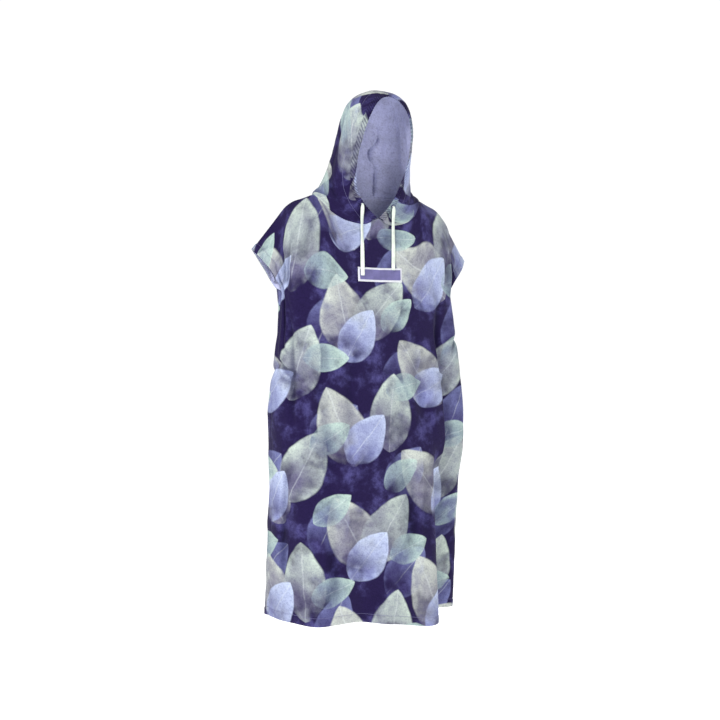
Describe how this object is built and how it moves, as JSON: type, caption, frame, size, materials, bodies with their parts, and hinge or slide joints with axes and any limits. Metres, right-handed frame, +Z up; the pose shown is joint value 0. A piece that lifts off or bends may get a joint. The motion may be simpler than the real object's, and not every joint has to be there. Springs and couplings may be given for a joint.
{
  "type": "hooded bath poncho",
  "caption": "Hooded towelling changing poncho with short grown-on sleeves, gathered drawcord hood and a bare chest patch, hollow as worn.",
  "frame": {"origin": "middle of the neck hole, level with the two points where the shoulder seams meet it; the wearer's shoulders and neck hold the garment there", "axes": "+Z up, -Y the way the wearer faces, +X the wearer's left"},
  "size_m": [0.6238, 0.3038, 1.3574],
  "materials": {
    "printed_towelling": "looped towelling, printed outside",
    "casing_towelling": "looped towelling, gathered",
    "cord_tape": "flat cotton tape",
    "patch_cloth": "matte woven"
  },
  "bodies": {
    "root": {"front_panel": "printed_towelling", "back_panel": "printed_towelling", "hood_right": "printed_towelling", "hood_left": "printed_towelling", "casing_right": "casing_towelling", "casing_left": "casing_towelling", "cord_right": "cord_tape", "cord_left": "cord_tape", "patch": "patch_cloth"}
  },
  "joints": []
}
